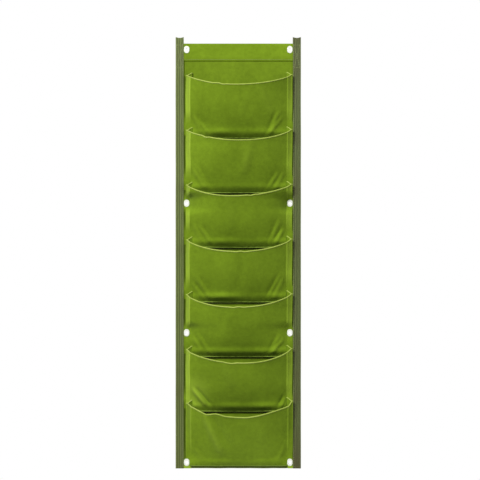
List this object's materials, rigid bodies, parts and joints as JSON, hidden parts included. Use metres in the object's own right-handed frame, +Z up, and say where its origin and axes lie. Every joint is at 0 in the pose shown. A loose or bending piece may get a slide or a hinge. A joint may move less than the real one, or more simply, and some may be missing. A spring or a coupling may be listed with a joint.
{
  "type": "wall planter bag",
  "caption": "Tall felt wall planter bag: flat back panel with a column of open bellied pockets, webbing side straps with hanging loops and paired eyelets for fixing to a wall.",
  "frame": {"origin": "midway between the two top eyelets, on the back face of the panel", "axes": "+X to the viewer's right, +Y into the wall, +Z up"},
  "size_m": [0.29, 0.0648, 0.9999],
  "materials": {
    "green_felt": "matte felt",
    "lip_binding": "matte felt",
    "khaki_webbing": "ribbed weave",
    "white_eyelet": "satin enamel"
  },
  "bodies": {
    "bag": {"back_panel": "green_felt", "top_hem": "green_felt", "side_strap_left": "khaki_webbing", "side_strap_right": "khaki_webbing", "eyelets": "white_eyelet", "eyelet_washers": "white_eyelet", "pocket_gussets_1": "green_felt", "pocket_hem_1": "green_felt", "pocket_gussets_2": "green_felt", "pocket_hem_2": "green_felt", "pocket_gussets_3": "green_felt", "pocket_hem_3": "green_felt", "pocket_gussets_4": "green_felt", "pocket_hem_4": "green_felt", "pocket_gussets_5": "green_felt", "pocket_hem_5": "green_felt", "pocket_gussets_6": "green_felt", "pocket_hem_6": "green_felt", "pocket_gussets_7": "green_felt", "pocket_hem_7": "green_felt"},
    "pocket_1": {"pocket_front_1": "green_felt", "pocket_lip_1": "lip_binding"},
    "pocket_2": {"pocket_front_2": "green_felt", "pocket_lip_2": "lip_binding"},
    "pocket_3": {"pocket_front_3": "green_felt", "pocket_lip_3": "lip_binding"},
    "pocket_4": {"pocket_front_4": "green_felt", "pocket_lip_4": "lip_binding"},
    "pocket_5": {"pocket_front_5": "green_felt", "pocket_lip_5": "lip_binding"},
    "pocket_6": {"pocket_front_6": "green_felt", "pocket_lip_6": "lip_binding"},
    "pocket_7": {"pocket_front_7": "green_felt", "pocket_lip_7": "lip_binding"}
  },
  "joints": [
    {"name": "pocket_mouth_1", "type": "hinge", "parent": "bag", "child": "pocket_1", "pos_m": [0, -0.005, -0.205], "axis": [1, 0, 0], "range_deg": [-5, 12], "deforming": ["pocket_gussets_1"]},
    {"name": "pocket_mouth_2", "type": "hinge", "parent": "bag", "child": "pocket_2", "pos_m": [0, -0.005, -0.3314], "axis": [1, 0, 0], "range_deg": [-5, 12], "deforming": ["pocket_gussets_2"]},
    {"name": "pocket_mouth_3", "type": "hinge", "parent": "bag", "child": "pocket_3", "pos_m": [0, -0.005, -0.4578], "axis": [1, 0, 0], "range_deg": [-5, 12], "deforming": ["pocket_gussets_3"]},
    {"name": "pocket_mouth_4", "type": "hinge", "parent": "bag", "child": "pocket_4", "pos_m": [0, -0.005, -0.5842], "axis": [1, 0, 0], "range_deg": [-5, 12], "deforming": ["pocket_gussets_4"]},
    {"name": "pocket_mouth_5", "type": "hinge", "parent": "bag", "child": "pocket_5", "pos_m": [0, -0.005, -0.7106], "axis": [1, 0, 0], "range_deg": [-5, 12], "deforming": ["pocket_gussets_5"]},
    {"name": "pocket_mouth_6", "type": "hinge", "parent": "bag", "child": "pocket_6", "pos_m": [0, -0.005, -0.837], "axis": [1, 0, 0], "range_deg": [-5, 12], "deforming": ["pocket_gussets_6"]},
    {"name": "pocket_mouth_7", "type": "hinge", "parent": "bag", "child": "pocket_7", "pos_m": [0, -0.005, -0.9634], "axis": [1, 0, 0], "range_deg": [-5, 12], "deforming": ["pocket_gussets_7"]}
  ]
}
